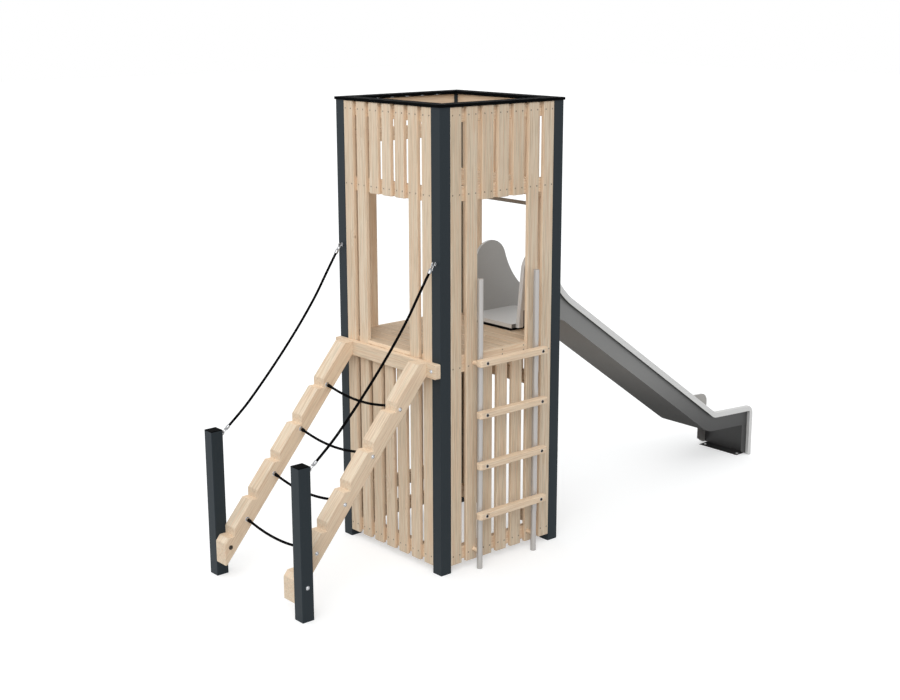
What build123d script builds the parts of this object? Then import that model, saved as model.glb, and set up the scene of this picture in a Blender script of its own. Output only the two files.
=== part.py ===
from build123d import *
from math import asin, atan2, cos, radians, sin, sqrt, tan
import os

# A timber play tower on four square steel posts, open to the sky. It has a plank floor at
# 1.53 m, a ladder on one side, a notched climbing ramp with rope rungs and two rope
# handrails on the next side, and a steel chute on the side opposite the ramp.
# Millimetres. +Z is up and the ground is z = 0. The pieces are drawn round the tower's
# middle: the ladder is on -Y, the ramp on -X, the chute on +X and the plain side on +Y.
# They are saved from the foot of the post between the ladder and the ramp.

# tower frame
tower_width = 1110.0
post_size = 90.0
post_wall = 3.0
post_corner_radius = 4.0
post_height = 3178.0
post_foot_thickness = 6.0
ring_thickness = 19.0
ring_width = 112.0
ring_overhang = 8.0
ring_joint_gap = 1.0

# boards and rails
board_thickness = 28.0
board_width = 95.0
boards_per_side = 7
doorway_boards = 3
board_top_clearance = 2.0
board_end_gap = 2.0
ground_clearance = 52.0
rail_depth = 45.0
rail_height = 95.0
top_rail_drop = 7.0
bottom_rail_lift = 15.0
head_drop = 615.0
back_head_drop = 306.0
lintel_drop = 670.0
lintel_height = 123.0
jamb_top_drop = 21.0
lintel_boards = 6
low_door_height = 1129.0
back_rail_height = 272.0

# floor
floor_height = 1530.0
plank_thickness = 28.0
plank_width = 95.0
least_plank_gap = 5.0
plank_side_clearance = 1.0
joist_width = 45.0
joist_count = 2
sill_height = 95.0

# ladder
pole_diameter = 40.0
pole_wall = 2.5
pole_cap_thickness = 4.0
pole_spacing = 515.0
pole_standoff = 60.0
pole_rise = 519.0
rung_count = 4
rung_pitch = 360.0
top_rung_drop = 45.0
rung_height = 45.0
rung_depth = 57.0
rung_overhang = 60.0
rung_end_radius = 22.0
rung_edge_chamfer = 3.0
wall_peg_diameter = 30.0
upper_peg_drop = 64.0
lower_peg_height = 128.0

# ramp
header_depth = 45.0
header_height = 100.0
header_end_chamfer = 6.0
ramp_reach = 1153.0
ramp_post_height = 1026.0
cap_thickness = 5.0
cap_chamfer = 2.0
ramp_slope = 50.0
stringer_size = 115.0
stringer_head_length = 72.0
stringer_edge_chamfer = 6.0
stringer_foot_height = 108.0
notch_count = 5
notch_pitch = 298.5
notch_drop = 61.0
first_notch_reach = 308.0
cut_margin = 1.0

# rope rungs and rope handrails
rope_diameter = 18.0
rope_rung_count = 4
rope_rung_pitch = 360.0
first_rope_rung_reach = 274.0
rope_rung_sag = 38.0
ferrule_diameter = 25.0
ferrule_length = 14.0
eye_rod_diameter = 9.0
eye_inner_diameter = 16.0
eye_shank_length = 9.5
eye_collar_diameter = 26.0
eye_collar_thickness = 4.0
upper_eye_height = 2170.0
lower_eye_height = 992.0
shackle_rod_diameter = 6.0
shackle_inner_width = 16.0
shackle_reach = 34.0
pin_diameter = 8.0
pin_overhang = 4.0
fitting_tab_thickness = 11.0
fitting_length = 30.0
fit_clearance = 0.2

# chute
chute_width = 480.0
chute_sheet = 3.0
chute_rim_clearance = 3.0
chute_lip_depth = 46.0
chute_leg_foot = 28.0
chute_rim_radius = 12.0
chute_entry_depth = 175.0
chute_wing_setback = 40.0
chute_pad_thickness = 20.0
chute_pad_width = 462.0
chute_pad_length = 170.0
chute_bed_depth = 29.0
chute_depth = 170.0
chute_slope = 35.0
chute_crest_reach = 325.0
chute_crest_radius = 200.0
runout_height = 310.0
runout_slope = 3.6
runout_rim_radius = 60.0
runout_length = 568.0
exit_corner_radius = 75.0
wing_radius = 150.0
wing_centre_setback = 60.0
wing_centre_height = 425.0
wing_sweep_radius = 600.0
apron_bend_radius = 28.0
exit_side_length = 109.0
exit_side_lift = 45.0
foot_plate_length = 118.0
foot_plate_width = 412.0
foot_hole_diameter = 26.0
foot_hole_setback = 70.0
foot_hole_spacing = 352.0
grab_bar_diameter = 27.0
grab_bar_drop = 72.0

half = tower_width / 2
post_centre = half - post_size / 2
inner_half = half - post_size
board_back = half - board_thickness
rail_back = board_back - rail_depth
board_pitch = (2 * inner_half - board_width) / (boards_per_side - 1)
middle_board = boards_per_side // 2
corner_boards = (boards_per_side - doorway_boards) // 2
doorway_half = (doorway_boards * board_pitch + board_pitch - board_width) / 2
board_top = post_height - board_top_clearance
floor_rail_top = floor_height - plank_thickness
floor_rail_low = floor_rail_top - rail_height
pole_top = floor_height + pole_rise


def box(x0, x1, y0, y1, z0, z1):
    """A box from its lowest to its highest corner."""
    size = (x1 - x0, y1 - y0, z1 - z0)
    return Pos((x0 + x1) / 2, (y0 + y1) / 2, (z0 + z1) / 2) * Box(*size)


def cylinder_between(start, end, diameter):
    """A round bar from one point to another."""
    line = Edge.make_line(start, end)
    return extrude(Plane(start, z_dir=line % 0) * Circle(diameter / 2), line.length)


def side_outline(edges, y0, y1):
    """A closed outline drawn in X and Z, made solid from y0 to y1."""
    face = make_face(edges)
    return extrude(Pos(0, y0, 0) * face, y1 - y0, dir=(0, 1, 0))


def save(name, *solids):
    """Writes the solids of one piece, or of a set of like pieces, to its own file."""
    placed = [Pos(post_centre, post_centre, 0) * solid for solid in solids]
    shape = placed[0] if len(placed) == 1 else Compound(children=placed)
    export_step(shape, os.path.join("parts", name + ".step"))


os.makedirs("parts", exist_ok=True)


# Posts: square steel tubes with a closed foot.
def post(x, y, height):
    outside = extrude(RectangleRounded(post_size, post_size, post_corner_radius), height)
    bore = post_size - 2 * post_wall
    inside = extrude(RectangleRounded(bore, bore, post_corner_radius / 2), height)
    return Pos(x, y, 0) * (outside - Pos(0, 0, post_foot_thickness) * inside)


save("post_ladder_ramp", post(-post_centre, -post_centre, post_height))
save("post_ladder_chute", post(post_centre, -post_centre, post_height))
save("post_back_ramp", post(-post_centre, post_centre, post_height))
save("post_back_chute", post(post_centre, post_centre, post_height))

# Ring: four flat plates on the post tops, mitred at the corners.
ring_outside = half + ring_overhang
ring_inside = ring_outside - ring_width
mitre_gap = ring_joint_gap / sqrt(2)
ring_outline = Polyline(
    (-ring_outside + mitre_gap, -ring_outside),
    (ring_outside - mitre_gap, -ring_outside),
    (ring_inside - mitre_gap, -ring_inside),
    (-ring_inside + mitre_gap, -ring_inside),
    close=True,
)
ring_plate = Pos(0, 0, post_height) * extrude(make_face(ring_outline), ring_thickness)
save("top_ring", *[Rot(0, 0, 90 * k) * ring_plate for k in range(4)])

# Sides: each is drawn as the ladder side and turned about the tower's middle. Every side has
# a doorway or a window over the floor. The chute side also has a low doorway to the room
# under the floor, and boards that stand closer round the chute.
side_turn = {"ladder_side": 0, "chute_side": 90, "back_side": 180, "ramp_side": 270}
head_low = {side: post_height - head_drop for side in side_turn}
head_low["back_side"] = post_height - back_head_drop
head_low["chute_side"] = post_height - lintel_drop
head_rail_height = {side: rail_height for side in side_turn}
head_rail_height["chute_side"] = lintel_height
jamb_centre = inner_half - board_width * 1.5 - board_end_gap
jamb_top = head_low["chute_side"] + lintel_height - jamb_top_drop
jamb_low = floor_rail_low + rail_height / 2
doorway_edge = {side: doorway_half for side in side_turn}
doorway_edge["chute_side"] = jamb_centre - board_width / 2
lintel_pitch = 2 * board_pitch * (middle_board - 1) / (lintel_boards - 1)
bottom_rail_low = ground_clearance + bottom_rail_lift
top_rail_low = post_height - top_rail_drop - rail_height


def board(centre, low, high):
    left = centre - board_width / 2
    return box(left, left + board_width, -half, -board_back, low, high)


def rail(left, right, low, height):
    return box(left, right, -board_back, -rail_back, low, low + height)


for side, turn in side_turn.items():
    has_sill = side in ("ladder_side", "back_side")
    low_board_top = floor_height - (sill_height if has_sill else plank_thickness)
    long_boards = []
    short_boards = []
    rails = [
        rail(-inner_half, inner_half, floor_rail_low, rail_height),
        rail(-inner_half, inner_half, head_low[side], head_rail_height[side]),
        rail(-inner_half, inner_half, top_rail_low, rail_height),
    ]
    for k in range(boards_per_side):
        centre = (k - middle_board) * board_pitch
        at_corner = k < corner_boards or k >= boards_per_side - corner_boards
        beside_door = k in (corner_boards - 1, boards_per_side - corner_boards)
        if side == "chute_side" and beside_door:
            short_boards.append(board(centre, ground_clearance, jamb_low - board_end_gap))
        elif at_corner:
            long_boards.append(board(centre, ground_clearance, board_top))
        elif side == "chute_side":
            short_boards.append(board(centre, low_door_height, low_board_top))
        else:
            short_boards.append(board(centre, ground_clearance, low_board_top))
            short_boards.append(board(centre, head_low[side], board_top))
    if side == "chute_side":
        long_boards.append(board(-jamb_centre, jamb_low, jamb_top))
        long_boards.append(board(jamb_centre, jamb_low, jamb_top))
        for k in range(lintel_boards):
            centre = (k - (lintel_boards - 1) / 2) * lintel_pitch
            outermost = k in (0, lintel_boards - 1)
            low = jamb_top + board_end_gap if outermost else head_low[side]
            short_boards.append(board(centre, low, board_top))
        rails.append(rail(-inner_half, inner_half, low_door_height, rail_height))
        rails.append(rail(-inner_half, -doorway_half, bottom_rail_low, rail_height))
        rails.append(rail(doorway_half, inner_half, bottom_rail_low, rail_height))
    else:
        rails.append(rail(-inner_half, inner_half, bottom_rail_low, rail_height))
    if side == "back_side":
        rails.append(rail(-inner_half, inner_half, back_rail_height, rail_height))
    place = Rot(0, 0, turn)
    save(side + "_long_boards", *[place * piece for piece in long_boards])
    save(side + "_short_boards", *[place * piece for piece in short_boards])
    save(side + "_rails", *[place * piece for piece in rails])

sill = box(
    plank_side_clearance - doorway_half,
    doorway_half - plank_side_clearance,
    -half,
    -board_back,
    floor_height - sill_height,
    floor_height,
)
save("window_sills", sill, Rot(0, 0, 180) * sill)

# Floor: planks along Y on the rails and two joists. The planks under the doorways of the
# ramp and the chute are notched round the boards beside the doorway.
edge_plank_inside = half - plank_width
plank_room = 2 * edge_plank_inside
plank_count = int((plank_room - least_plank_gap) // (plank_width + least_plank_gap))
plank_gap = (plank_room - plank_count * plank_width) / (plank_count + 1)


def edge_plank(door_half):
    """The plank on the chute side, with a tongue into the doorway."""
    plank = box(edge_plank_inside, board_back, -inner_half, inner_half, floor_rail_top, floor_height)
    reach = door_half - plank_side_clearance
    return plank + box(board_back, half, -reach, reach, floor_rail_top, floor_height)


planks = [edge_plank(doorway_edge["chute_side"])]
planks.append(Rot(0, 0, 180) * edge_plank(doorway_edge["ramp_side"]))
for k in range(plank_count):
    left = plank_gap - edge_plank_inside + k * (plank_width + plank_gap)
    right = left + plank_width
    planks.append(box(left, right, -board_back, board_back, floor_rail_top, floor_height))
save("floor_planks", *planks)

joists = []
for k in range(joist_count):
    middle = -rail_back + 2 * rail_back * (k + 1) / (joist_count + 1)
    front = middle - joist_width / 2
    back = middle + joist_width / 2
    joists.append(box(-rail_back, rail_back, front, back, floor_rail_low, floor_rail_top))
save("floor_joists", *joists)

# Ladder: two steel poles, four timber rungs bolted on their outer sides, and round timber
# pegs that hold the poles off the boards.
pole_y = -half - pole_standoff
rung_back = pole_y - pole_diameter / 2
poles = []
pegs = []
for side in (-1, 1):
    x = side * pole_spacing / 2
    tube = Cylinder(pole_diameter / 2, pole_top, align=(Align.CENTER, Align.CENTER, Align.MIN))
    tube = fillet(tube.edges().group_by(Axis.Z)[-1], pole_wall)
    bore_length = pole_top - pole_cap_thickness
    bore = Cylinder(
        pole_diameter / 2 - pole_wall, bore_length, align=(Align.CENTER, Align.CENTER, Align.MIN)
    )
    poles.append(Pos(x, pole_y, 0) * (tube - bore))
    pole_room = Pos(x, pole_y, 0) * Cylinder(
        pole_diameter / 2, pole_top, align=(Align.CENTER, Align.CENTER, Align.MIN)
    )
    for height in (lower_peg_height, floor_height - upper_peg_drop):
        peg = cylinder_between((x, -half, height), (x, pole_y, height), wall_peg_diameter)
        pegs.append(peg - pole_room)
save("ladder_poles", *poles)
save("ladder_wall_pegs", *pegs)

rung_length = pole_spacing + 2 * rung_overhang
rung_plan = RectangleRounded(rung_length, rung_depth, rung_end_radius)
rung = extrude(rung_plan, rung_height)
rung = chamfer(rung.edges().group_by(Axis.Z)[0] + rung.edges().group_by(Axis.Z)[-1], rung_edge_chamfer)
rungs = []
for k in range(rung_count):
    low = floor_height - top_rung_drop - k * rung_pitch - rung_height / 2
    rungs.append(Pos(0, rung_back - rung_depth / 2, low) * rung)
save("ladder_rungs", *rungs)

# Ramp: a header across the tower, two square stringers with stepped notches in their upper
# edges, and two short posts at the foot.
header_front = -half - header_depth
header_top = floor_rail_top
header = box(header_front, -half, -half, half, header_top - header_height, header_top)
header_ends = header.edges().filter_by(Axis.X)
save("ramp_header", chamfer(header_ends, header_end_chamfer))

ramp_end = -half - ramp_reach
slope = radians(ramp_slope)
crest_rise = header_top - (header_front - stringer_head_length) * tan(slope)
stringer_drop = stringer_size / cos(slope)


def crest_height(x):
    """Height of the stringers' upper edge."""
    return crest_rise + x * tan(slope)


def stringer(y0):
    """A sloping timber, cut plumb at the header and at its foot and level at its head."""
    corners = [
        (header_front, y0, crest_height(header_front)),
        (ramp_end, y0, crest_height(ramp_end)),
        (ramp_end, y0, crest_height(ramp_end) - stringer_drop),
        (header_front, y0, crest_height(header_front) - stringer_drop),
    ]
    timber = extrude(make_face(Polyline(*corners, close=True)), stringer_size, dir=(0, 1, 0))
    long_edges = [edge for edge in timber.edges() if edge.length > ramp_reach]
    timber = chamfer(long_edges, stringer_edge_chamfer)
    cut_from = y0 - cut_margin
    cut_to = y0 + stringer_size + cut_margin
    head_back = header_front - stringer_head_length - cut_margin
    head_front = header_front + cut_margin
    timber -= box(head_back, head_front, cut_from, cut_to, header_top, header_top + stringer_size)
    foot_back = ramp_end - cut_margin
    foot_front = ramp_end + stringer_size
    timber -= box(foot_back, foot_front, cut_from, cut_to, -cut_margin, stringer_foot_height)
    for k in range(notch_count):
        riser = -half - first_notch_reach - k * notch_pitch * cos(slope)
        tread = crest_height(riser) - notch_drop
        out = riser - notch_drop
        timber -= box(out, riser, cut_from, cut_to, tread, tread + 2 * notch_drop)
    return timber


save("stringer_ladder_side", stringer(-inner_half))
save("stringer_back_side", stringer(inner_half - stringer_size))

ramp_post_x = ramp_end + post_size / 2
cap = Pos(0, 0, cap_thickness / 2) * Box(post_size, post_size, cap_thickness)
cap = chamfer(cap.edges().group_by(Axis.Z)[-1], cap_chamfer)
ramp_posts = []
caps = []
for y in (-post_centre, post_centre):
    ramp_posts.append(post(ramp_post_x, y, ramp_post_height))
    caps.append(Pos(ramp_post_x, y, ramp_post_height) * cap)
save("ramp_posts", *ramp_posts)
save("ramp_post_caps", *caps)


def rope(points):
    """A rope along straight runs joined by arcs as large as the runs allow."""
    runs = [Vector(*b) - Vector(*a) for a, b in zip(points, points[1:])]
    radii = []
    for before, after in zip(runs, runs[1:]):
        turn = radians(before.get_angle(after))
        radii.append(0.45 * min(before.length, after.length) / tan(turn / 2))
    path = FilletPolyline(*[Vector(*point) for point in points], radius=radii)
    print("rope radii", [round(radius) for radius in radii])
    section = Plane(origin=path @ 0, z_dir=path % 0) * Circle(rope_diameter / 2)
    tube = sweep(section, path=path)
    print("rope volume over section times length", tube.volume / (section.area * path.length))
    return tube


# Rope rungs: each hangs a little between the two stringers, from a steel ferrule in each.
inner_face = inner_half - stringer_size
rung_route = [75.0, 220.0, inner_face - ferrule_length]
fittings = []
for k in range(rope_rung_count):
    x = -half - first_rope_rung_reach - k * rope_rung_pitch * cos(slope)
    end_height = crest_height(x) - stringer_drop / 2
    half_route = []
    for y in rung_route:
        lift = rope_rung_sag * ((y / rung_route[-1]) ** 2 - 1)
        half_route.append((x, y, end_height + lift))
    route = [(px, -py, pz) for px, py, pz in reversed(half_route)] + half_route
    save("rope_rung_" + str(k + 1), rope(route))
    for side in (-1, 1):
        tip = Vector(x, side * half_route[-1][1], half_route[-1][2])
        inward = Vector(x, side * half_route[-2][1], half_route[-2][2]) - tip
        root = tip - inward.normalized() * (2 * ferrule_length)
        sleeve = cylinder_between(tuple(root), tuple(tip), ferrule_diameter)
        near = side * inner_face
        far = side * (inner_face + 4 * ferrule_length)
        wall = box(
            x - ferrule_diameter, x + ferrule_diameter, min(near, far), max(near, far),
            end_height - stringer_size, end_height + stringer_size,
        )
        fittings.append(sleeve - wall)

# Rope handrails: each hangs from an eye bolt in the tower post to one in the ramp post.
# A shackle through the eye holds the fitting that is pressed on the rope's end.
handrail_route = [
    (-697.0, 1990.0), (-790.0, 1842.0), (-916.0, 1677.0), (-1040.0, 1529.0),
    (-1180.0, 1374.0), (-1310.0, 1239.0), (-1424.0, 1127.0),
]
eye_radius = (eye_inner_diameter + eye_rod_diameter) / 2
eye_out = eye_shank_length + eye_radius
shackle_radius = (shackle_inner_width + shackle_rod_diameter) / 2
bow_start = eye_radius - (eye_rod_diameter + shackle_rod_diameter) / 2 - fit_clearance
pin_place = bow_start + shackle_reach
rope_start = pin_place + fitting_length
eye_bolts = []
shackles = []


def hang_rope(face_x, outward, y, eye_height, next_point):
    """Eye bolt, shackle and end fitting on a post's face. Returns the rope's end."""
    eye = Vector(face_x + outward * eye_out, y, eye_height)
    along = (Vector(next_point[0], y, next_point[1]) - eye).normalized()
    frame = Plane(origin=eye, x_dir=along, z_dir=(-along.Z, 0, along.X))
    ring = Pos(*eye) * Rot(90, 0, 0) * Torus(eye_radius, eye_rod_diameter / 2)
    shank_end = (face_x + outward * (eye_out - eye_radius), y, eye_height)
    shank = cylinder_between((face_x, y, eye_height), shank_end, eye_rod_diameter)
    collar_end = (face_x + outward * eye_collar_thickness, y, eye_height)
    collar = cylinder_between((face_x, y, eye_height), collar_end, eye_collar_diameter)
    eye_bolts.append(ring + shank + collar)

    bow_centre = bow_start + shackle_radius
    bow = Polyline((pin_place, shackle_radius), (bow_centre, shackle_radius))
    bow += CenterArc((bow_centre, 0), shackle_radius, 90, 180)
    bow += Polyline((bow_centre, -shackle_radius), (pin_place, -shackle_radius))
    start = Plane(origin=(pin_place, shackle_radius, 0), z_dir=(-1, 0, 0))
    loop = sweep(start * Circle(shackle_rod_diameter / 2), path=Wire(bow.edges()))
    reach = shackle_radius + shackle_rod_diameter / 2 + pin_overhang
    pin = cylinder_between((pin_place, -reach, 0), (pin_place, reach, 0), pin_diameter)
    shackles.append(frame.location * (loop + pin))

    tab_half = fitting_tab_thickness / 2
    tab_end = pin_place + pin_diameter + fit_clearance
    tab = box(pin_place, tab_end + cut_margin, -tab_half, tab_half, -pin_diameter, pin_diameter)
    tab += cylinder_between((pin_place, -tab_half, 0), (pin_place, tab_half, 0), 2 * pin_diameter)
    tab += cylinder_between((tab_end, 0, 0), (rope_start, 0, 0), ferrule_diameter)
    hole = pin_diameter + 2 * fit_clearance
    tab -= cylinder_between((pin_place, -reach, 0), (pin_place, reach, 0), hole)
    fittings.append(frame.location * tab)
    return eye + along * rope_start


for name, y in (("ladder", -post_centre), ("back", post_centre)):
    top = hang_rope(-half, -1, y, upper_eye_height, handrail_route[0])
    foot = hang_rope(ramp_end + post_size, 1, y, lower_eye_height, handrail_route[-1])
    route = [tuple(top)] + [(px, y, pz) for px, pz in handrail_route] + [tuple(foot)]
    save("handrail_rope_" + name + "_side", rope(route))
save("eye_bolts", *eye_bolts)
save("shackles", *shackles)
save("rope_end_fittings", *fittings)

# Chute: its underside, bed and rim are parallel lines with a crest and a run-out bend.
crest_x = half + chute_crest_reach
under_level = floor_height + chute_pad_thickness
bend_x = crest_x + (under_level - runout_height) / tan(radians(chute_slope))
exit_x = bend_x + runout_length
entry_x = half - chute_entry_depth
wing_x = entry_x + chute_wing_setback
wall_inside = chute_width / 2
wall_outside = wall_inside + chute_sheet
rim_outside = doorway_edge["chute_side"] - chute_rim_clearance


def parallel_corner(corner, slope_before, slope_after, distance):
    """The corner of the line that runs at a distance above a bent line."""
    middle = radians((slope_before + slope_after) / 2)
    reach = distance / cos(radians((slope_after - slope_before) / 2))
    return (corner[0] + reach * sin(middle), corner[1] + reach * cos(middle))


def runout_line(distance, x):
    """A point of the run-out at a distance above the underside, where it passes x."""
    angle = radians(runout_slope)
    fall = (x - bend_x) * tan(angle)
    return (x, runout_height - fall + distance / cos(angle))


def flat(points):
    return [(x, 0, z) for x, z in points]


def long_line(distance, start_x, end_x):
    """Level start, slope and run-out as one line, at a distance above the underside."""
    crest = parallel_corner((crest_x, under_level), 0, chute_slope, distance)
    bend = parallel_corner((bend_x, runout_height), chute_slope, runout_slope, distance)
    points = [(start_x, under_level + distance), crest, bend, runout_line(distance, end_x)]
    rim_to_here = chute_depth - distance
    radii = [chute_crest_radius + distance, runout_rim_radius + rim_to_here]
    return FilletPolyline(*flat(points), radius=radii)


apron_start = exit_x - 2 * apron_bend_radius
under_line = long_line(0, entry_x, apron_start)
bed_line = long_line(chute_bed_depth, entry_x, apron_start)
bed_outline = under_line.edges() + bed_line.edges()
bed_outline += Polyline(under_line @ 0, bed_line @ 0).edges()
bed_outline += Polyline(under_line @ 1, bed_line @ 1).edges()
save("chute_bed", side_outline(bed_outline, -wall_inside, wall_inside))

# Chute sides: the rim climbs from the bend over the slope and round the wing to the bed.
slope_angle = radians(chute_slope)
rim_bend = parallel_corner((bend_x, runout_height), chute_slope, runout_slope, chute_depth)
rim_exit = runout_line(chute_depth, exit_x)
wing_centre = Vector(half + wing_centre_setback, under_level - chute_pad_thickness + wing_centre_height)
slope_normal = Vector(sin(slope_angle), cos(slope_angle))
slope_along = Vector(cos(slope_angle), -sin(slope_angle))
sweep_offset = Vector(*rim_bend) + slope_normal * wing_sweep_radius - wing_centre
middle_term = sweep_offset.dot(slope_along)
centre_span = wing_radius + wing_sweep_radius
back = sqrt(middle_term**2 - sweep_offset.length**2 + centre_span**2)
sweep_centre = wing_centre + sweep_offset - slope_along * (middle_term - back)
sweep_foot = sweep_centre - slope_normal * wing_sweep_radius
wing_back = wing_centre + (sweep_centre - wing_centre) * (wing_radius / centre_span)
wing_front_foot = Vector(wing_x, under_level)
to_centre = wing_centre - wing_front_foot
lean = atan2(to_centre.Y, to_centre.X) + asin(wing_radius / to_centre.length)
tangent_length = sqrt(to_centre.length**2 - wing_radius**2)
wing_front = wing_front_foot + Vector(cos(lean), sin(lean)) * tangent_length
wing_crown = wing_centre + Vector(0, wing_radius)
sweep_middle_direction = ((wing_back - sweep_centre) + (sweep_foot - sweep_centre)).normalized()
sweep_middle = sweep_centre + sweep_middle_direction * wing_sweep_radius


def in_side(point):
    return (point.X, 0, point.Y)


def rim_line():
    """From the wing's foot over the wing, down the slope and round the exit to the ground."""
    wing = [
        Line(in_side(wing_front_foot), in_side(wing_front)),
        ThreePointArc(in_side(wing_front), in_side(wing_crown), in_side(wing_back)),
        ThreePointArc(in_side(wing_back), in_side(sweep_middle), in_side(sweep_foot)),
    ]
    points = [(sweep_foot.X, sweep_foot.Y), rim_bend, rim_exit, (exit_x, 0)]
    run = FilletPolyline(*flat(points), radius=[runout_rim_radius, exit_corner_radius])
    return Wire(wing + list(run.edges()))


rim = rim_line()
leg_inside = exit_x - chute_leg_foot
leg_back = exit_x - chute_lip_depth
exit_side_start = exit_x - exit_side_length
under_edge = long_line(0, wing_x, exit_side_start)
leg_line = Polyline(
    (exit_x, 0, 0),
    (leg_inside, 0, 0),
    (exit_side_start, 0, exit_side_lift),
    tuple(under_edge @ 1),
)
wall_outline = rim.edges() + leg_line.edges() + under_edge.edges()


def on_rim(face):
    """The edges of a face parallel to the sides that lie below the rim line."""
    level = Pos(0, face.center().Y, 0) * rim
    return [edge for edge in face.edges() if level.distance_to(edge @ 0.5) < chute_sheet * 1.5]


# The rim is rolled: a flange out from the wall's top and a lip that turns down from it.
side_face = make_face(wall_outline)
rim_depth = rim_outside - wall_inside
shell = extrude(Pos(0, wall_inside, 0) * side_face, rim_depth, dir=(0, 1, 0))
shell = fillet(on_rim(shell.faces().sort_by(Axis.Y)[-1]), chute_rim_radius)
hollow_face = Pos(0, wall_outside, 0) * offset(side_face, -chute_sheet)
hollow = extrude(hollow_face, rim_depth - 2 * chute_sheet, dir=(0, 1, 0))
hollow = fillet(on_rim(hollow.faces().sort_by(Axis.Y)[-1]), chute_rim_radius - chute_sheet)
below_lip = Pos(0, wall_outside, 0) * offset(side_face, -chute_lip_depth)
below_lip = extrude(below_lip, rim_depth, dir=(0, 1, 0))
strip_start = wing_x + chute_lip_depth
strip_low = long_line(-chute_sheet, strip_start, leg_back)
strip_high = long_line(chute_depth - chute_lip_depth, strip_start, leg_back)
strip_outline = strip_low.edges() + strip_high.edges()
strip_outline += Polyline(strip_low @ 0, strip_high @ 0).edges()
strip_outline += Polyline(strip_low @ 1, strip_high @ 1).edges()
strip = side_outline(strip_outline, wall_outside, rim_outside + chute_sheet)
exit_strip_top = runout_line(chute_bed_depth, exit_side_start)[1]
strip += box(
    exit_side_start - chute_sheet,
    leg_back,
    wall_outside,
    rim_outside + chute_sheet,
    -chute_sheet,
    exit_strip_top,
)
leg_web_top = runout_line(chute_depth - chute_lip_depth, leg_back)[1]
leg_web = box(leg_back, leg_back + chute_sheet, wall_inside, rim_outside - chute_sheet, 0, leg_web_top)
side = shell - hollow - below_lip - strip + leg_web & shell
save("chute_side_back", side)
save("chute_side_ladder", mirror(side, about=Plane.XZ))

# Chute exit: an apron that turns down from the bed, and a plate on the ground behind it
# with a hole near each end for an anchor.
apron_outside = FilletPolyline(
    *flat([
        runout_line(chute_bed_depth, apron_start),
        runout_line(chute_bed_depth, exit_x),
        (exit_x, 0),
    ]),
    radius=apron_bend_radius,
)
apron_inside = FilletPolyline(
    *flat([
        runout_line(chute_bed_depth - chute_sheet, apron_start),
        runout_line(chute_bed_depth - chute_sheet, exit_x - chute_sheet),
        (exit_x - chute_sheet, 0),
    ]),
    radius=apron_bend_radius - chute_sheet,
)
apron_outline = apron_outside.edges() + apron_inside.edges()
apron_outline += Polyline(apron_outside @ 0, apron_inside @ 0).edges()
apron_outline += Polyline(apron_outside @ 1, apron_inside @ 1).edges()
save("chute_apron", side_outline(apron_outline, -wall_inside, wall_inside))

foot_front = exit_x - chute_sheet
foot_half = foot_plate_width / 2
foot = box(foot_front - foot_plate_length, foot_front, -foot_half, foot_half, 0, chute_sheet)
for side in (-1, 1):
    hole = Cylinder(foot_hole_diameter / 2, 3 * chute_sheet)
    foot -= Pos(foot_front - foot_hole_setback, side * foot_hole_spacing / 2, 0) * hole
save("chute_foot_plate", foot)

# Chute entrance: a rubber pad between the floor and the bed, and a bar over the doorway.
pad_half = chute_pad_width / 2
pad_end = entry_x + chute_pad_length
save("chute_pad", box(entry_x, pad_end, -pad_half, pad_half, floor_height, under_level))

bar_x = half - board_thickness / 2
bar_height = head_low["chute_side"] - grab_bar_drop
bar_ends = [(bar_x, side * doorway_edge["chute_side"], bar_height) for side in (-1, 1)]
save("grab_bar", cylinder_between(*bar_ends, grab_bar_diameter))
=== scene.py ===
import bmesh
import bpy
import numpy as np
from mathutils import Matrix, Vector


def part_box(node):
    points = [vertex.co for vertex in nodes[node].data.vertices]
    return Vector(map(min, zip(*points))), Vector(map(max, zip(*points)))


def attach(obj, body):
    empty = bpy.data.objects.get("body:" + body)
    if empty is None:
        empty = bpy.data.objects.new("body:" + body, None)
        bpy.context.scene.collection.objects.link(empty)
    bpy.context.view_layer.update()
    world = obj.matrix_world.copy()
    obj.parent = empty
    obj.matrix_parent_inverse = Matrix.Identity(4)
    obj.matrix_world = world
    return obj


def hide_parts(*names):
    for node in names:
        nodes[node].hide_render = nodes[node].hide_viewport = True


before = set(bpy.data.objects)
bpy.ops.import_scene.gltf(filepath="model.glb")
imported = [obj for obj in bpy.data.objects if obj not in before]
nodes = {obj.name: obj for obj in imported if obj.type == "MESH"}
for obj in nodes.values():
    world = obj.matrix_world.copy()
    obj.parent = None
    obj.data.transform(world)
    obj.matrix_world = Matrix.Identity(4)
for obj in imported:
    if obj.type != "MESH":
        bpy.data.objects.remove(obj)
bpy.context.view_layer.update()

scene = bpy.context.scene
scene.view_settings.view_transform = "Standard"

# Camera: in front of the corner between ladder and ramp, a little above the top of the
# tower, as the photograph shows it. Its field is that of a 900 x 700 picture.
camera_place = Vector((-5.8859, -6.9410, 3.8397))
camera_yaw, camera_pitch, camera_roll = 0.7096, -0.2428, -0.0022
forward = Vector((
    np.sin(camera_yaw) * np.cos(camera_pitch),
    np.cos(camera_yaw) * np.cos(camera_pitch),
    np.sin(camera_pitch),
))
level_right = forward.cross(Vector((0, 0, 1))).normalized()
level_up = level_right.cross(forward)
camera_right = level_right * np.cos(camera_roll) + level_up * np.sin(camera_roll)
camera_up = camera_right.cross(forward)
turn = Matrix((camera_right, camera_up, -forward)).transposed().to_4x4()
lens = bpy.data.cameras.new("camera")
lens.sensor_width = 36.0
lens.lens = 56.53
camera = bpy.data.objects.new("camera", lens)
camera.matrix_world = Matrix.Translation(camera_place) @ turn
scene.collection.objects.link(camera)
scene.camera = camera


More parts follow.
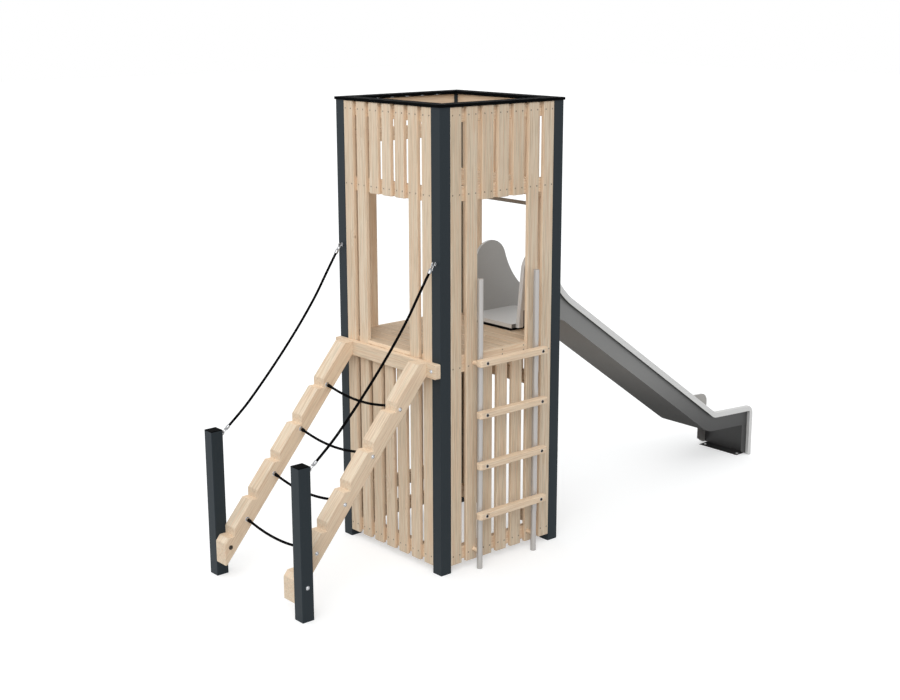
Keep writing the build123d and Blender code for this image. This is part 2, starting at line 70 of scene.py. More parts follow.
# Ropes: six-strand polyester rope, black. Four hang across the ramp between steel ferrules,
# and two run down beside it as handrails between pressed fittings on shackles.
class Value:
    """What one output of a material's node gives, with arithmetic that adds Math nodes."""

    def __init__(self, finish, socket):
        self.finish = finish
        self.socket = socket

    def maths(self, operation, first, second):
        return self.finish.node("ShaderNodeMath", {"operation": operation}, {0: first, 1: second})

    def __add__(self, other):
        return self.maths("ADD", self, other)

    def __radd__(self, other):
        return self.maths("ADD", other, self)

    def __sub__(self, other):
        return self.maths("SUBTRACT", self, other)

    def __rsub__(self, other):
        return self.maths("SUBTRACT", other, self)

    def __mul__(self, other):
        return self.maths("MULTIPLY", self, other)

    def __rmul__(self, other):
        return self.maths("MULTIPLY", other, self)

    def __pow__(self, other):
        return self.maths("POWER", self, other)


class Finish:
    """A material with one Principled shader. Constants are set on the shader's own sockets."""

    def __init__(self, name, constants):
        self.material = bpy.data.materials.new(name)
        self.material.use_nodes = True
        self.tree = self.material.node_tree
        self.shader = self.tree.nodes["Principled BSDF"]
        for socket, value in constants.items():
            self.shader.inputs[socket].default_value = value

    def node(self, kind, settings, sockets, outlet=0):
        """Adds a node of a type: its settings first, then numbers or links for its sockets."""
        made = self.tree.nodes.new(kind)
        for name, setting in settings.items():
            setattr(made, name, setting)
        for name, value in sockets.items():
            if isinstance(value, Value):
                self.tree.links.new(value.socket, made.inputs[name])
            else:
                made.inputs[name].default_value = value
        return Value(self, made.outputs[outlet])

    def place(self, scale=(1.0, 1.0, 1.0), turned=(0.0, 0.0, 0.0)):
        """Object coordinates in metres, turned and stretched for a pattern."""
        where = self.node("ShaderNodeTexCoord", {}, {}, "Object")
        return self.node("ShaderNodeMapping", {}, {"Vector": where, "Rotation": turned, "Scale": scale})

    def noise(self, where, scale=1.0, detail=2.0, roughness=0.5):
        sockets = {"Vector": where, "Scale": scale, "Detail": detail, "Roughness": roughness}
        return self.node("ShaderNodeTexNoise", {}, sockets)

    def step(self, value, start, end):
        """0 below start, 1 above end, smooth between them; falling where end is below start."""
        sockets = {"Value": value, "From Min": start, "From Max": end}
        return self.node("ShaderNodeMapRange", {"interpolation_type": "SMOOTHSTEP"}, sockets)

    def spread(self, value, low, high):
        """Brings a value from 0..1 to low..high."""
        return self.node("ShaderNodeMapRange", {}, {"Value": value, "To Min": low, "To Max": high})

    def mix(self, factor, first, second):
        """One colour into another by a factor."""
        colours = [c if isinstance(c, Value) else (*c, 1.0) for c in (first, second)]
        sockets = {0: factor, 6: colours[0], 7: colours[1]}
        return self.node("ShaderNodeMix", {"data_type": "RGBA"}, sockets, 2)

    def feed(self, socket, value):
        self.tree.links.new(value.socket, self.shader.inputs[socket])

    def relief(self, height, depth):
        """Lets a height from 0 to 1 stand out by a depth in metres."""
        sockets = {"Height": height, "Distance": depth, "Strength": 1.0}
        self.feed("Normal", self.node("ShaderNodeBump", {}, sockets))


def painted(red, green, blue):
    """A screen colour from 0 to 255 as the light it stands for: the inverse of the screen's curve."""
    tone = np.array((red, green, blue)) / 255.0
    low = tone / 12.92
    high = ((tone + 0.055) / 1.055) ** 2.4
    return tuple(float(x) for x in np.where(tone <= 0.04045, low, high))


def new_piece(name, points, faces, finish):
    """Makes a piece of a mesh, gives it its finish and slot, and lets it ride."""
    mesh = bpy.data.meshes.new(name)
    mesh.from_pydata([tuple(p) for p in points], [], [tuple(f) for f in faces])
    mesh.materials.append(finish.material)
    mesh.polygons.foreach_set("use_smooth", np.ones(len(mesh.polygons), bool))
    mesh.update()
    piece = bpy.data.objects.new(name, mesh)
    scene.collection.objects.link(piece)
    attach(piece, "root")
    return piece


def tube_faces(rings, around):
    """Quads between the rings of a tube, and a fan at each end round two added points."""
    ring = np.arange(rings - 1)[:, None] * around
    here = np.arange(around)[None, :]
    beside = (here + 1) % around
    quads = np.stack(
        (ring + here, ring + beside, ring + around + beside, ring + around + here), axis=-1
    ).reshape(-1, 4)
    step = np.arange(around)
    first = np.stack((np.full(around, rings * around), (step + 1) % around, step), axis=-1)
    last_ring = (rings - 1) * around
    last = np.stack(
        (np.full(around, rings * around + 1), last_ring + step, last_ring + (step + 1) % around), axis=-1
    )
    return [tuple(q) for q in quads.tolist()] + [tuple(t) for t in first.tolist() + last.tolist()]


rope_diameter = 0.018
rope_lay = 0.110
rope_strands = 6
rope_valley = 0.89
rope_step = 0.004
rope_around = 36

rope_finish = Finish("black_rope", {"Roughness": 0.8, "Specular IOR Level": 0.03})
along_rope = rope_finish.node("ShaderNodeAttribute", {"attribute_name": "rope_place"}, {}, "Vector")
yarns = rope_finish.noise(
    rope_finish.node("ShaderNodeMapping", {}, {"Vector": along_rope, "Scale": (26.0, 260.0, 1.0)}), 1.0, 3.0
)
rope_finish.feed("Base Color", rope_finish.mix(yarns, painted(2, 2, 3), painted(12, 12, 13)))
rope_finish.relief(yarns, 0.0006)


def rope(name, node, route, sideways):
    """Sweeps a lobed circle along the route's smooth line. With a twist of t = a - 2 pi s / lay
    at angle a and length s, the radius rises from the valley's share of the rope's radius to
    the whole of it with |cos(strands * t / 2)|."""
    curve = bpy.data.curves.new(name, "CURVE")
    curve.dimensions = "3D"
    spline = curve.splines.new("NURBS")
    spline.points.add(len(route) - 1)
    for point, place in zip(spline.points, route):
        point.co = (*place, 1.0)
    spline.order_u = 3
    spline.use_endpoint_u = True
    spline.resolution_u = 16
    holder = bpy.data.objects.new(name + "_line", curve)
    line_mesh = bpy.data.meshes.new_from_object(holder)
    line = np.empty(len(line_mesh.vertices) * 3)
    line_mesh.vertices.foreach_get("co", line)
    line = line.reshape(-1, 3)
    bpy.data.objects.remove(holder)
    bpy.data.meshes.remove(line_mesh)

    lengths = np.concatenate(([0.0], np.cumsum(np.linalg.norm(np.diff(line, axis=0), axis=1))))
    count = int(lengths[-1] / rope_step) + 2
    along = np.linspace(0.0, lengths[-1], count)
    middle = np.stack([np.interp(along, lengths, line[:, k]) for k in range(3)], axis=1)
    tangent = np.gradient(middle, axis=0)
    tangent /= np.linalg.norm(tangent, axis=1)[:, None]
    side = np.broadcast_to(np.array(sideways), middle.shape)
    over = np.cross(tangent, side)
    angle = np.linspace(0.0, 2 * np.pi, rope_around, endpoint=False)
    twist = angle[None, :] - 2 * np.pi * along[:, None] / rope_lay
    lobes = np.abs(np.cos(rope_strands * twist / 2)) ** 0.8
    radius = rope_diameter / 2 * (rope_valley + (1.0 - rope_valley) * lobes)
    points = (
        middle[:, None, :]
        + radius[..., None] * np.cos(angle)[None, :, None] * side[:, None, :]
        + radius[..., None] * np.sin(angle)[None, :, None] * over[:, None, :]
    ).reshape(-1, 3)
    points = np.concatenate((points, middle[:1], middle[-1:]))
    faces = tube_faces(count, rope_around)
    piece = new_piece(name, points, faces, rope_finish)
    place = np.stack(np.broadcast_arrays(
        np.cos(twist) * rope_diameter, along[:, None], np.sin(twist) * rope_diameter
    ), axis=-1).reshape(-1, 3)
    place = np.concatenate((place, [[0, 0, 0], [0, along[-1], 0]]))
    store = piece.data.attributes.new("rope_place", "FLOAT_VECTOR", "POINT")
    store.data.foreach_set("vector", place.astype(np.float32).ravel())
    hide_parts(node)
    return piece, float(lengths[-1]), middle[::4].tolist() + middle[-1:].tolist()


rope_rungs = 4
first_rung_x = -0.3190
rung_spacing_out, rung_spacing_down = 0.23140, 0.27577
rung_route = [
    (0.174, 1.22544), (0.290, 1.20373), (0.435, 1.18933),
    (0.585, 1.18933), (0.730, 1.20373), (0.846, 1.22544),
]
for k in range(rope_rungs):
    rung_x = first_rung_x - k * rung_spacing_out
    route = [(rung_x, y, z - k * rung_spacing_down) for y, z in rung_route]
    piece, length, path = rope(f"rope_across_ramp_{k + 1}", f"rope_rung_{k + 1}", route, (1.0, 0.0, 0.0))

handrail_route = [
    (-0.10516, 2.11275), (-0.187, 1.990), (-0.280, 1.842), (-0.406, 1.677), (-0.530, 1.529),
    (-0.670, 1.374), (-0.800, 1.239), (-0.914, 1.127), (-1.03188, 1.03448),
]
for side_name, rope_y in (("ladder_side", 0.0), ("back_side", 1.02)):
    route = [(x, rope_y, z) for x, z in handrail_route]
    node = "handrail_rope_" + side_name
    piece, length, path = rope("rope_handrail_" + side_name, node, route, (0.0, 1.0, 0.0))


# Posts: square steel tube 90 mm wide with rounded corners, powder coated in anthracite.
# Four carry the tower, and two short ones with flat caps hold the ramp's foot.
def merged_copy(node, rounding, crease):
    """A copy of a CAD node with its triangles joined into flat faces, its sharp edges rounded
    by a radius in metres, and even shading across what is left of the flat faces. An edge is
    sharp where it turns by more than the crease, in degrees."""
    mesh = nodes[node].data.copy()
    work = bmesh.new()
    work.from_mesh(mesh)
    bmesh.ops.remove_doubles(work, verts=work.verts, dist=1e-5)
    bmesh.ops.dissolve_limit(work, angle_limit=np.radians(0.4), verts=work.verts, edges=work.edges)
    work.to_mesh(mesh)
    work.free()
    holder = bpy.data.objects.new(node + "_copy", mesh)
    scene.collection.objects.link(holder)
    mesh.polygons.foreach_set("use_smooth", np.ones(len(mesh.polygons), bool))
    mesh.set_sharp_from_angle(angle=np.radians(crease))
    if rounding:
        bevel = holder.modifiers.new("rounding", "BEVEL")
        bevel.width = rounding
        bevel.segments = 3
        bevel.limit_method = "ANGLE"
        bevel.angle_limit = np.radians(crease)
    shading = holder.modifiers.new("shading", "WEIGHTED_NORMAL")
    shading.keep_sharp = True
    bpy.context.view_layer.update()
    shaped = bpy.data.meshes.new_from_object(holder.evaluated_get(bpy.context.evaluated_depsgraph_get()))
    bpy.data.objects.remove(holder)
    return shaped


def dress(node, finish, rounding=0.0, crease=30.0):
    """Puts a merged copy of a CAD node in its place, with the finish of the real piece."""
    shaped = merged_copy(node, rounding, crease)
    shaped.materials.clear()
    shaped.materials.append(finish.material)
    piece = bpy.data.objects.new(node + "_finished", shaped)
    scene.collection.objects.link(piece)
    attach(piece, "root")
    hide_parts(node)
    return piece


post_finish = Finish("anthracite_powder_coat", {"Specular IOR Level": 0.12})
pebble = post_finish.noise(post_finish.place(), 900.0, 2.0)
cloud = post_finish.noise(post_finish.place((1.0, 1.0, 0.25)), 3.0, 3.0)
post_finish.feed("Base Color", post_finish.mix(cloud, painted(40, 47, 52), painted(48, 56, 61)))
post_finish.feed("Roughness", post_finish.spread(cloud, 0.38, 0.48))
post_finish.relief(pebble, 0.00012)
for node in ("post_ladder_ramp", "post_ladder_chute", "post_back_ramp", "post_back_chute", "ramp_posts"):
    dress(node, post_finish)

# Ring and caps: flat plates in near-black sheet. The ring is four mitred lengths screwed on
# the post tops, and the caps close the two short posts.
plate_finish = Finish("near_black_sheet", {"Roughness": 0.7, "Specular IOR Level": 0.02})
grain = plate_finish.noise(plate_finish.place(), 420.0, 3.0)
plate_finish.feed("Base Color", plate_finish.mix(grain, painted(3, 4, 5), painted(12, 13, 14)))
plate_finish.relief(grain, 0.00015)
dress("top_ring", plate_finish, rounding=0.0015)
dress("ramp_post_caps", plate_finish, rounding=0.0012)

# Timber: planed softwood with rounded edges. Upright boards are screwed to rails between the
# posts, planks lie on the floor rails, and the ramp hangs on a header across two posts.
wood_finish = Finish("planed_softwood", {"Specular IOR Level": 0.3})
grain_place = wood_finish.node("ShaderNodeAttribute", {"attribute_name": "grain_place"}, {}, "Vector")
board_tone = wood_finish.node("ShaderNodeAttribute", {"attribute_name": "board_tone"}, {}, "Fac")
painted_light_and_weather = wood_finish.node("ShaderNodeAttribute", {"attribute_name": "light_and_weather_face"}, {}, "Fac")


def in_grain(across, along):
    """Places in a board, stretched along its grain for a pattern."""
    sockets = {"Vector": grain_place, "Scale": (across, across, along)}
    return wood_finish.node("ShaderNodeMapping", {}, sockets)


rings_per_metre = 210.0
across = wood_finish.node("ShaderNodeSeparateXYZ", {}, {"Vector": grain_place}, 0)
deep = wood_finish.node("ShaderNodeSeparateXYZ", {}, {"Vector": grain_place}, 1)
sway = wood_finish.noise(in_grain(9.0, 1.1), 1.0, 2.0) - 0.5
knot_far = wood_finish.node("ShaderNodeTexVoronoi", {}, {"Vector": in_grain(4.6, 2.6), "Scale": 1.0})
knot_push = wood_finish.step(knot_far, 0.22, 0.03)
from_pith = ((across * across + deep * deep) ** 0.5) + sway * 0.022 + knot_push * 0.010
ring_phase = wood_finish.node("ShaderNodeMath", {"operation": "FRACT"}, {0: from_pith * rings_per_metre})
late_wood = wood_finish.step(ring_phase, 0.35, 0.92) * wood_finish.step(ring_phase, 1.0, 0.93)
fibre = wood_finish.noise(in_grain(850.0, 9.0), 1.0, 3.0, 0.6)
broad_fibre = wood_finish.noise(in_grain(130.0, 2.2), 1.0, 3.0, 0.6)
rosy = wood_finish.step(wood_finish.noise(in_grain(95.0, 3.2), 1.0, 3.0, 0.6), 0.44, 0.62)
grey = wood_finish.step(wood_finish.noise(in_grain(120.0, 4.5), 1.0, 3.0, 0.6), 0.46, 0.66)
dash = wood_finish.step(wood_finish.noise(in_grain(1500.0, 45.0), 1.0, 1.0), 0.66, 0.78)
knot = wood_finish.step(knot_far, 0.050, 0.026)
pale = wood_finish.mix(board_tone, painted(234, 219, 197), painted(224, 207, 183))
dark = wood_finish.mix(board_tone, painted(216, 193, 163), painted(206, 181, 151))
# Faces that are not weathered are lighter and pinker: partly freshly planed wood, partly painted light on
# board edges in the gaps, on inner faces and on the rails.
pale = wood_finish.mix(painted_light_and_weather, pale, painted(245, 225, 199))
dark = wood_finish.mix(painted_light_and_weather, dark, painted(229, 199, 166))
body = wood_finish.mix(late_wood * 0.60 + (broad_fibre - 0.5) * 0.9, pale, dark)
body = wood_finish.mix(rosy * 0.42, body, painted(222, 184, 151))
body = wood_finish.mix(grey * (0.42 - painted_light_and_weather * 0.20), body, painted(172, 155, 130))
body = wood_finish.mix(fibre * 0.20, body, painted(184, 160, 130))
body = wood_finish.mix(dash * 0.30, body, painted(152, 120, 86))
body = wood_finish.mix(knot * 0.65, body, painted(150, 108, 70))
# Painted shade: faces with the shade mark, the floor planks' upper faces, are darker and stand for the shade
# of the tower's walls.
body = wood_finish.mix(wood_finish.step(painted_light_and_weather, -0.2, -0.8) * 0.38, body, painted(168, 142, 112))
wood_finish.feed("Base Color", body)
wood_finish.feed("Roughness", wood_finish.spread(fibre, 0.56, 0.72))
wood_finish.relief(fibre * 0.6 + late_wood * 0.4, 0.00022)


def solids_of(mesh):
    """The number of the solid that each point of a mesh belongs to: every point takes the
    lowest number along its edges until none changes."""
    edges = np.empty(len(mesh.edges) * 2, int)
    mesh.edges.foreach_get("vertices", edges)
    first, second = edges.reshape(-1, 2).T
    number = np.arange(len(mesh.vertices))
    while True:
        before = number.copy()
        lower = np.minimum(number[first], number[second])
        np.minimum.at(number, first, lower)
        np.minimum.at(number, second, lower)
        number = number[number]
        if np.array_equal(before, number):
            return number


wood_seed = np.random.default_rng(41)
# Face marks: lighter faces (fresh wood and painted light), weathered outer faces, and faces painted darker
# as painted shade.
fresh_and_lit_mark, weathered_mark, painted_shade_mark = 1.0, 0.0, -1.0


def dress_in_wood(node, rounding=0.004, along=None, weathered=None, painted_shade_on_top=False):
    """Gives each timber of a node its own cut from the log: a place across, through and along
    the grain in metres, from a pith that lies outside most boards. Faces that look in the
    weathered direction have greyed a little. All the other faces are painted lighter and pinker, partly as
    freshly planed wood and partly as painted light on board edges in the gaps, on inner faces and on the
    rails.
    Where asked, the faces that look in the weathered direction are painted darker instead, as painted shade
    of the tower's walls on the floor planks."""
    piece = dress(node, wood_finish, rounding)
    mesh = piece.data
    points = np.empty(len(mesh.vertices) * 3)
    mesh.vertices.foreach_get("co", points)
    points = points.reshape(-1, 3)
    number = solids_of(mesh)
    grain = np.zeros_like(points)
    tone = np.zeros(len(points))
    for solid in np.unique(number):
        chosen = number == solid
        here = points[chosen]
        size = here.max(axis=0) - here.min(axis=0)
        longest, middle, least = np.argsort(size)[::-1]
        if along is None:
            run, wide, thick = np.eye(3)[[longest, middle, least]]
        else:
            run = np.array(along) / np.linalg.norm(along)
            wide = np.array((0.0, 1.0, 0.0))
            thick = np.cross(run, wide)
        centre = (here.max(axis=0) + here.min(axis=0)) / 2
        local = (here - centre) @ np.stack((wide, thick, run), axis=1)
        pith = wood_seed.uniform((-0.05, 0.035, 0.0), (0.05, 0.110, 40.0))
        pith[1] *= wood_seed.choice((-1.0, 1.0))
        grain[chosen] = local + pith
        tone[chosen] = wood_seed.uniform(0.0, 1.0)
    place = mesh.attributes.new("grain_place", "FLOAT_VECTOR", "POINT")
    place.data.foreach_set("vector", grain.astype(np.float32).ravel())
    store = mesh.attributes.new("board_tone", "FLOAT", "POINT")
    store.data.foreach_set("value", tone.astype(np.float32))
    light_and_weather_face = np.full(len(mesh.polygons), fresh_and_lit_mark)
    if weathered is not None:
        facing = np.empty(len(mesh.polygons) * 3)
        mesh.polygons.foreach_get("normal", facing)
        outer_face = facing.reshape(-1, 3) @ np.array(weathered) > 0.7
        # Painted shade: where asked, the weathered faces get the shade mark instead.
        light_and_weather_face[outer_face] = painted_shade_mark if painted_shade_on_top else weathered_mark
    store = mesh.attributes.new("light_and_weather_face", "FLOAT", "FACE")
    store.data.foreach_set("value", light_and_weather_face.astype(np.float32))
    return piece


sides = {
    "ladder_side": ((0.0, -1.0), (1.0, 0.0)),
    "chute_side": ((1.0, 0.0), (0.0, 1.0)),
    "back_side": ((0.0, 1.0), (-1.0, 0.0)),
    "ramp_side": ((-1.0, 0.0), (0.0, -1.0)),
}
for side_name, (outward, _) in sides.items():
    dress_in_wood(side_name + "_long_boards", weathered=(*outward, 0.0))
    dress_in_wood(side_name + "_short_boards", weathered=(*outward, 0.0))
    dress_in_wood(side_name + "_rails", 0.003)
dress_in_wood("window_sills", weathered=(0.0, 0.0, 1.0))
dress_in_wood("floor_planks", 0.003, weathered=(0.0, 0.0, 1.0), painted_shade_on_top=True)
dress_in_wood("floor_joists", 0.003)
dress_in_wood("ladder_wall_pegs", 0.0008)
dress_in_wood("ladder_rungs", 0.0015)
dress_in_wood("ramp_header", 0.003, weathered=(-1.0, 0.0, 0.0))
ramp_direction = (0.6428, 0.0, 0.7660)
ramp_upward = (-0.7660, 0.0, 0.6428)
dress_in_wood("stringer_ladder_side", 0.002, ramp_direction, ramp_upward)
dress_in_wood("stringer_back_side", 0.002, ramp_direction, ramp_upward)

# Ladder poles: stainless tube, 40 mm, ground lengthwise and closed at the top.
pole_finish = Finish("ground_stainless_tube", {"Metallic": 0.5})
lengthwise = pole_finish.noise(pole_finish.place((700.0, 700.0, 4.0)), 1.0, 3.0, 0.6)
pole_finish.feed("Base Color", pole_finish.mix(lengthwise, painted(172, 169, 166), painted(200, 197, 194)))
pole_finish.feed("Roughness", pole_finish.spread(lengthwise, 0.28, 0.40))
pole_finish.relief(lengthwise, 0.00004)
dress("ladder_poles", pole_finish)

# Eye bolts, shackles and rope fittings: turned and forged stainless steel, satin.
fitting_finish = Finish("satin_stainless", {"Metallic": 1.0})
turned = fitting_finish.noise(fitting_finish.place(), 600.0, 3.0)
fitting_finish.feed("Base Color", fitting_finish.mix(turned, painted(158, 159, 161), painted(190, 191, 193)))
fitting_finish.feed("Roughness", fitting_finish.spread(turned, 0.12, 0.24))
for node in ("eye_bolts", "shackles", "rope_end_fittings"):
    nodes[node].data.materials.clear()
    nodes[node].data.materials.append(fitting_finish.material)

# Chute: stainless sheet, brushed along its length. The sides have a rolled rim, and the exit
# turns down to the ground over a plate with a hole near each end. Its faces carry lit and shaded copies of
# one finish: the rim, the bed's front edge and the faces that look up or towards the exit are painted bright
# as painted highlight, and the inner walls take a middle tone.
# The outer walls and foot plate take darker tones as painted shade, as does the bed's underside, which is
# not metallic, and both are darker towards the ground as painted shade.
chute_finish = Finish("brushed_sheet", {"Specular IOR Level": 0.0})
chute_painted_light = chute_finish.node("ShaderNodeAttribute", {"attribute_name": "chute_painted_light"}, {}, "Fac")
brushed = chute_finish.noise(chute_finish.place((9.0, 420.0, 420.0), (0.0, np.radians(35.0), 0.0)), 1.0, 3.0)
patch = chute_finish.noise(chute_finish.place(), 2.2, 3.0)
streak = brushed * 0.5 + patch * 0.3
height = chute_finish.node("ShaderNodeSeparateXYZ", {}, {"Vector": chute_finish.place()}, 2)
not_underside = chute_finish.step(chute_painted_light, 0.1, 0.2)
at_least_mid_lit = chute_finish.step(chute_painted_light, 0.4, 0.5)
highlight_only = chute_finish.step(chute_painted_light, 0.65, 0.75)
# Lit and shaded tones of one finish: painted shade for the underside and the outer faces, each darker
# towards the ground, a middle tone inside and a painted highlight.
shaded_underside_tone = chute_finish.mix(streak, painted(104, 104, 103), painted(120, 120, 119))
shaded_underside_tone = chute_finish.mix(chute_finish.step(height, 0.4, 1.5), shaded_underside_tone, painted(176, 174, 171))
shaded_outer_tone = chute_finish.mix(streak, painted(76, 76, 76), painted(92, 92, 92))
shaded_outer_tone = chute_finish.mix(chute_finish.step(height, 0.2, 1.1), shaded_outer_tone, painted(130, 130, 129))
mid_lit_inner_tone = chute_finish.mix(streak, painted(158, 156, 153), painted(182, 180, 177))
highlight_tone = chute_finish.mix(streak, painted(206, 206, 205), painted(226, 226, 225))
chute_tone = chute_finish.mix(not_underside, shaded_underside_tone, shaded_outer_tone)
chute_tone = chute_finish.mix(at_least_mid_lit, chute_tone, mid_lit_inner_tone)
chute_tone = chute_finish.mix(highlight_only, chute_tone, highlight_tone)
chute_finish.feed("Base Color", chute_tone)
chute_finish.feed("Metallic", chute_finish.spread(not_underside, 0.0, 0.75) - at_least_mid_lit * 0.35)
chute_finish.feed("Roughness", chute_finish.spread(brushed, 0.40, 0.52))
chute_finish.relief(brushed, 0.00004)
# Marks for painted shade under the bed, painted shade on outer faces, the middle tone inside, and painted
# highlight.
shaded_underside_mark, shaded_outer_mark, mid_lit_inner_mark, highlight_mark = 0.0, 0.3, 0.6, 0.9
chute_middle = 0.51
chute_wall = 0.2445
for node in ("chute_bed", "chute_side_ladder", "chute_side_back", "chute_apron", "chute_foot_plate"):
    mesh = dress(node, chute_finish, crease=25.0).data
    centre = np.empty(len(mesh.polygons) * 3)
    facing = np.empty(len(mesh.polygons) * 3)
    mesh.polygons.foreach_get("center", centre)
    mesh.polygons.foreach_get("normal", facing)
    beside = centre.reshape(-1, 3)[:, 1] - chute_middle
    facing = facing.reshape(-1, 3)
    # Each face's tone mark: painted highlight on the rim and on faces that look up or towards the exit, a
    # middle tone on inner walls, painted shade on outer faces and on the underside.
    painted_light_mark = np.full(len(mesh.polygons), shaded_outer_mark)
    if node.startswith("chute_side"):
        painted_light_mark[facing[:, 1] * beside < -0.1] = mid_lit_inner_mark
        painted_light_mark[np.abs(beside) > chute_wall] = highlight_mark
    elif node != "chute_foot_plate":
        painted_light_mark[(facing[:, 2] > 0.1) | (facing[:, 0] > 0.5)] = highlight_mark
    if node == "chute_bed":
        painted_light_mark[facing[:, 0] < -0.9] = highlight_mark
        painted_light_mark[facing[:, 2] < -0.1] = shaded_underside_mark
    store = mesh.attributes.new("chute_painted_light", "FLOAT", "FACE")
    store.data.foreach_set("value", painted_light_mark.astype(np.float32))

# Entrance pad: moulded rubber. Grab bar: coated steel tube between the doorway's boards.
pad_finish = Finish("black_rubber", {"Roughness": 0.8, "Specular IOR Level": 0.04})
crumb = pad_finish.noise(pad_finish.place(), 300.0, 3.0)
pad_finish.feed("Base Color", pad_finish.mix(crumb, painted(4, 4, 5), painted(16, 16, 17)))
pad_finish.relief(crumb, 0.0003)
dress("chute_pad", pad_finish, rounding=0.003)

bar_finish = Finish("grey_brown_coat", {"Roughness": 0.4})
bar_cloud = bar_finish.noise(bar_finish.place(), 30.0, 3.0)
bar_finish.feed("Base Color", bar_finish.mix(bar_cloud, painted(126, 114, 100), painted(140, 128, 113)))
dress("grab_bar", bar_finish)


# Screws: small dark screws with a six-lobed socket, two in each board at each rail behind
# it, and six in each sill.
def turned_set(name, outline, lobes, around, places, finish):
    """Turns an outline of (radius, height) round each place's normal. Where lobes isn't 0,
    the radius swells by that share six times round, as in a six-lobed socket."""
    outline = np.array(outline)
    angle = np.linspace(0.0, 2 * np.pi, around, endpoint=False)
    swell = 1.0 + np.array(lobes)[:, None] * np.cos(6 * angle)[None, :]
    radius = outline[:, 0][:, None] * swell
    height = np.broadcast_to(outline[:, 1][:, None], radius.shape)
    shape = np.stack((radius * np.cos(angle), radius * np.sin(angle), height), axis=-1).reshape(-1, 3)
    ends = np.array(((0.0, 0.0, outline[0, 1]), (0.0, 0.0, outline[-1, 1])))
    shape = np.concatenate((shape, ends))
    one = tube_faces(len(outline), around)
    where = np.array([place for place, _ in places])
    normal = np.array([direction for _, direction in places], float)
    helper = np.where(np.abs(normal[:, 2:3]) > 0.9, (1.0, 0.0, 0.0), (0.0, 0.0, 1.0))
    first = np.cross(helper, normal)
    first /= np.linalg.norm(first, axis=1)[:, None]
    second = np.cross(normal, first)
    axes = np.stack((first, second, normal), axis=1)
    points = np.einsum("pk,nkj->npj", shape, axes) + where[:, None, :]
    faces = [tuple(i + k * len(shape) for i in face) for k in range(len(places)) for face in one]
    return new_piece(name, points.reshape(-1, 3), faces, finish)


screw_finish = Finish("screw_steel", {"Metallic": 0.9, "Roughness": 0.45})
stain = screw_finish.noise(screw_finish.place(), 900.0, 2.0)
screw_finish.feed("Base Color", screw_finish.mix(stain, painted(44, 40, 36), painted(68, 63, 58)))

tower_low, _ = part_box("post_ladder_ramp")
_, tower_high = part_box("post_back_chute")
tower_middle = (np.array(tower_low[:2]) + np.array(tower_high[:2])) / 2
tower_half = tower_high[0] - tower_middle[0]
board_pitch = (0.930 - 0.095) / 6
screw_from_centre = 0.030
screw_lift = 0.0002
low_rail, back_low_rail, low_door_rail, floor_rail, top_rail = 0.1145, 0.3195, 1.1765, 1.4495, 3.1235
head_rail = {"ladder_side": 2.6105, "chute_side": 2.5850, "back_side": 2.9195, "ramp_side": 2.6105}
under_sill = 1.4210
door_board_top = 1.4300
jamb_from_middle = 0.3205
jamb_screw_heights = (1.4780, 2.5600)
lintel_count = 6
lintel_spacing = 0.11133
outer_lintel_rail = 2.6210
sill_screws_across = (-0.2, 0.0, 0.2)
sill_screw_heights = (1.483, 1.515)


def screwed_spots(side_name):
    """Where the screws go on a side: how far a board's middle is from the side's middle, and
    the height of the rail behind it."""
    spots = []
    for k in range(-3, 4):
        centre = k * board_pitch
        if side_name == "chute_side":
            levels = (floor_rail, low_door_rail)
            if abs(k) == 3:
                levels = (low_rail, floor_rail, head_rail[side_name], top_rail)
            if abs(k) == 2:
                levels = (low_rail, low_door_rail, door_board_top)
        else:
            sawn_for_sill = side_name != "ramp_side" and abs(k) < 2
            levels = (low_rail, under_sill if sawn_for_sill else floor_rail, head_rail[side_name], top_rail)
        spots += [(centre, level) for level in levels]
        if side_name == "back_side":
            spots.append((centre, back_low_rail))
    if side_name == "chute_side":
        spots += [(side * jamb_from_middle, level) for side in (-1, 1) for level in jamb_screw_heights]
        for k in range(lintel_count):
            centre = (k - (lintel_count - 1) / 2) * lintel_spacing
            lintel_rail = outer_lintel_rail if k in (0, lintel_count - 1) else head_rail[side_name]
            spots += [(centre, level) for level in (lintel_rail, top_rail)]
    return spots


screws = []
for side_name, (outward, sideways) in sides.items():
    outward = np.array(outward)
    sideways = np.array(sideways)
    face_middle = tower_middle + outward * (tower_half + screw_lift)
    for centre, level in screwed_spots(side_name):
        for shift in (-screw_from_centre, screw_from_centre):
            flat = face_middle + sideways * (centre + shift)
            screws.append(((*flat, level), (*outward, 0.0)))
    if side_name in ("ladder_side", "back_side"):
        for across_sill in sill_screws_across:
            for level in sill_screw_heights:
                flat = face_middle + sideways * across_sill
                screws.append(((*flat, level), (*outward, 0.0)))
screw_outline = [
    (0.0051, -0.0006), (0.0048, 0.0002), (0.0031, 0.0005), (0.0025, 0.0001), (0.0024, -0.0016),
    (0.0018, -0.0016),
]
screw_lobes = [0.0, 0.0, 0.0, 0.14, 0.14, 0.14]
turned_set("board_screws", screw_outline, screw_lobes, 18, screws, screw_finish)

# Ramp bolts: domed stainless bolts with a washer, where each rope rung ends, in the header's
# ends and in the short posts.
bolt_finish = Finish("bolt_steel", {"Metallic": 1.0, "Roughness": 0.20})
bolt_cloud = bolt_finish.noise(bolt_finish.place(), 300.0, 2.0)
bolt_finish.feed("Base Color", bolt_finish.mix(bolt_cloud, painted(176, 178, 181), painted(206, 208, 211)))


def tower_point(x, y, z):
    """A place given from the tower's middle, on the ground, in the part's own frame."""
    return (x + tower_middle[0], y + tower_middle[1], z)


